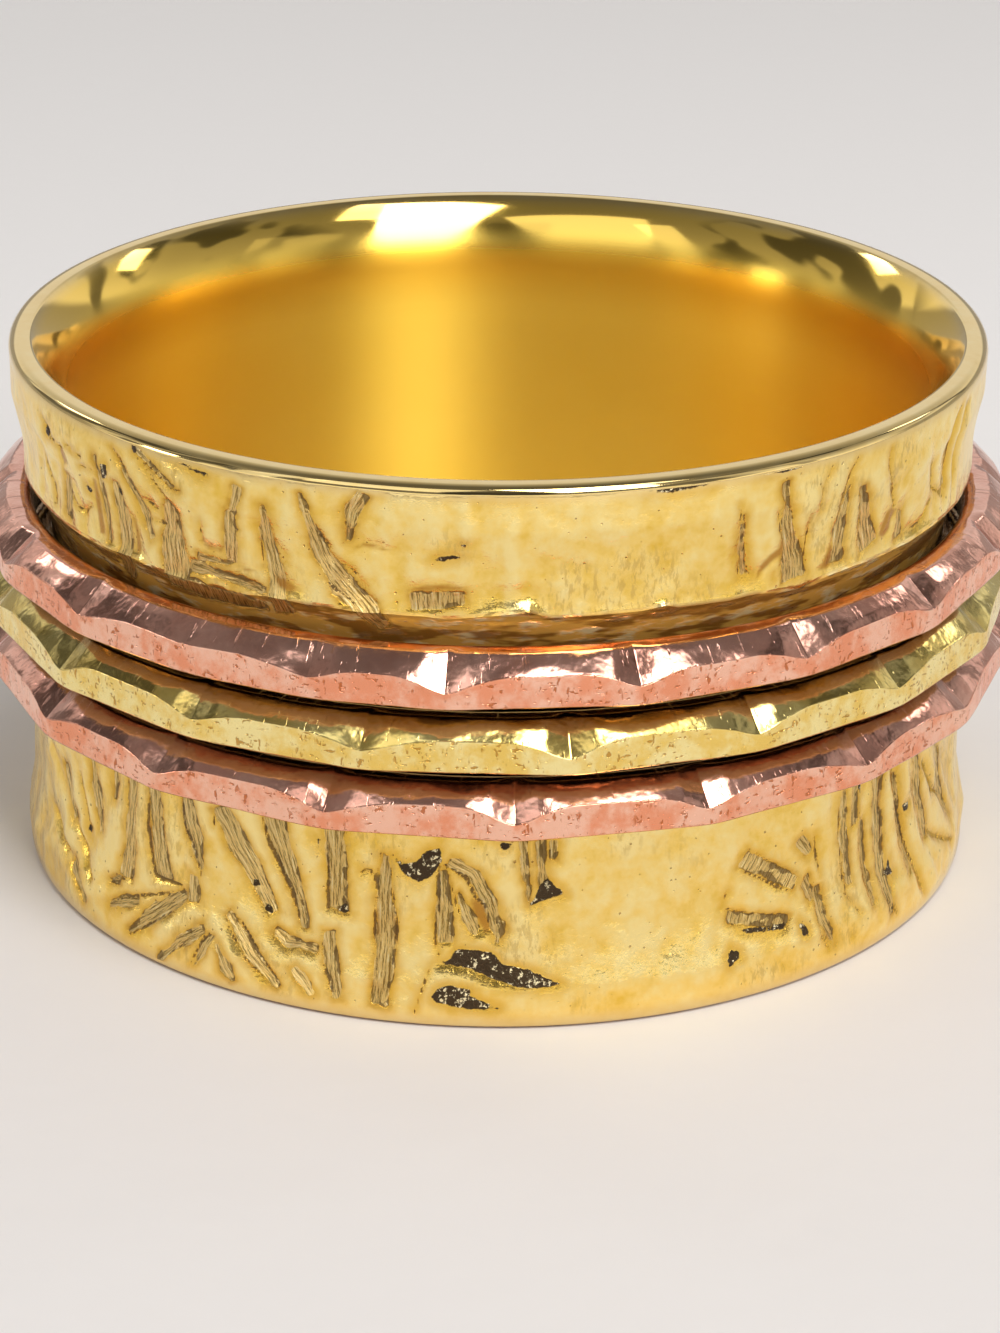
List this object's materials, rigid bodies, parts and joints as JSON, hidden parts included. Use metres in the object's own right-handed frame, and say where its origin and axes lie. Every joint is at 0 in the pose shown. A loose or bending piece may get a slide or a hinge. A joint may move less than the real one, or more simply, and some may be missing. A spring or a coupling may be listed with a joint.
{
  "type": "spinner ring",
  "caption": "Wide brass finger ring with flared rims and struck walls; loose faceted copper and brass rings turn in a channel round its middle.",
  "frame": {"origin": "centre of the lower rim, on the axis of the finger hole", "axes": "+Z along the finger hole, from the rim that the ring stands on to the other one; -Y is the front that the picture shows"},
  "size_m": [0.024, 0.024, 0.0124],
  "materials": {
    "band_brass": "polished rims, satin finger hole, struck and lightly tarnished walls",
    "copper": "copper with finely speckled flat sides and a polished bevel",
    "spinner_brass": "finely speckled flat sides and a polished bevel"
  },
  "bodies": {
    "band": {"band": "band_brass"},
    "bottom_spinner": {"spinner_bottom": "copper"},
    "middle_spinner": {"spinner_middle": "spinner_brass"},
    "top_spinner": {"spinner_top": "copper"}
  },
  "joints": [
    {"name": "bottom_spin", "type": "hinge", "parent": "band", "child": "bottom_spinner", "pos_m": [0, 0, 0.0054], "axis": [0, 0, 1], "continuous": true},
    {"name": "middle_spin", "type": "hinge", "parent": "band", "child": "middle_spinner", "pos_m": [0, 0, 0.00688], "axis": [0, 0, 1], "continuous": true},
    {"name": "top_spin", "type": "hinge", "parent": "band", "child": "top_spinner", "pos_m": [0, 0, 0.00835], "axis": [0, 0, 1], "continuous": true}
  ]
}
